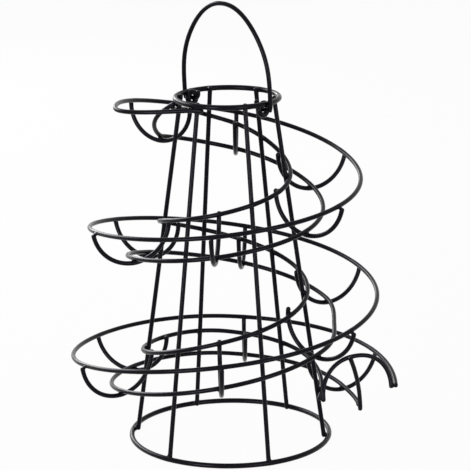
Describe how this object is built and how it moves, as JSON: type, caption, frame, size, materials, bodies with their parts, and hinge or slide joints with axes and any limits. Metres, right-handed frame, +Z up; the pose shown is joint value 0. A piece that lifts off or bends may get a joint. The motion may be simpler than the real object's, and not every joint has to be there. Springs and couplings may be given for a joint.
{
  "type": "rolling egg dispenser",
  "caption": "Spiral wire rack for eggs: rods between two rings carry a banked helical chute with an arched stop at its outlet and a swinging bail handle.",
  "frame": {"origin": "middle of the rack's box in plan, at the level of the surface it stands on; the tower's own axis stands 4.4 mm left of it and 3.2 mm in front of it", "axes": "+Z up along the tower, +X to the right with the chute's outlet, +Y away from the viewer of the picture"},
  "size_m": [0.3098, 0.3054, 0.4193],
  "materials": {
    "black_powder_coat": "semi-gloss powder coat"
  },
  "bodies": {
    "frame": {"base_ring": "black_powder_coat", "cradle_01": "black_powder_coat", "cradle_02": "black_powder_coat", "cradle_03": "black_powder_coat", "cradle_04": "black_powder_coat", "cradle_05": "black_powder_coat", "cradle_06": "black_powder_coat", "cradle_07": "black_powder_coat", "cradle_08": "black_powder_coat", "cradle_09": "black_powder_coat", "cradle_10": "black_powder_coat", "cradle_11": "black_powder_coat", "cradle_12": "black_powder_coat", "cradle_13": "black_powder_coat", "cradle_14": "black_powder_coat", "cradle_15": "black_powder_coat", "handle_eyelet_1": "black_powder_coat", "handle_eyelet_2": "black_powder_coat", "inner_rail": "black_powder_coat", "keel_wire": "black_powder_coat", "outer_rail": "black_powder_coat", "stop_arch": "black_powder_coat", "stop_bar": "black_powder_coat", "top_ring": "black_powder_coat", "upright_rod_1": "black_powder_coat", "upright_rod_2": "black_powder_coat", "upright_rod_3": "black_powder_coat", "upright_rod_4": "black_powder_coat", "upright_rod_5": "black_powder_coat", "upright_rod_6": "black_powder_coat"},
    "handle": {"bail_handle": "black_powder_coat"}
  },
  "joints": [
    {"name": "handle_swing", "type": "hinge", "parent": "frame", "child": "handle", "pos_m": [-0.00445, -0.00316, 0.32355], "axis": [-0.7545, 0.6563, 0], "range_deg": [-84, 134]}
  ]
}
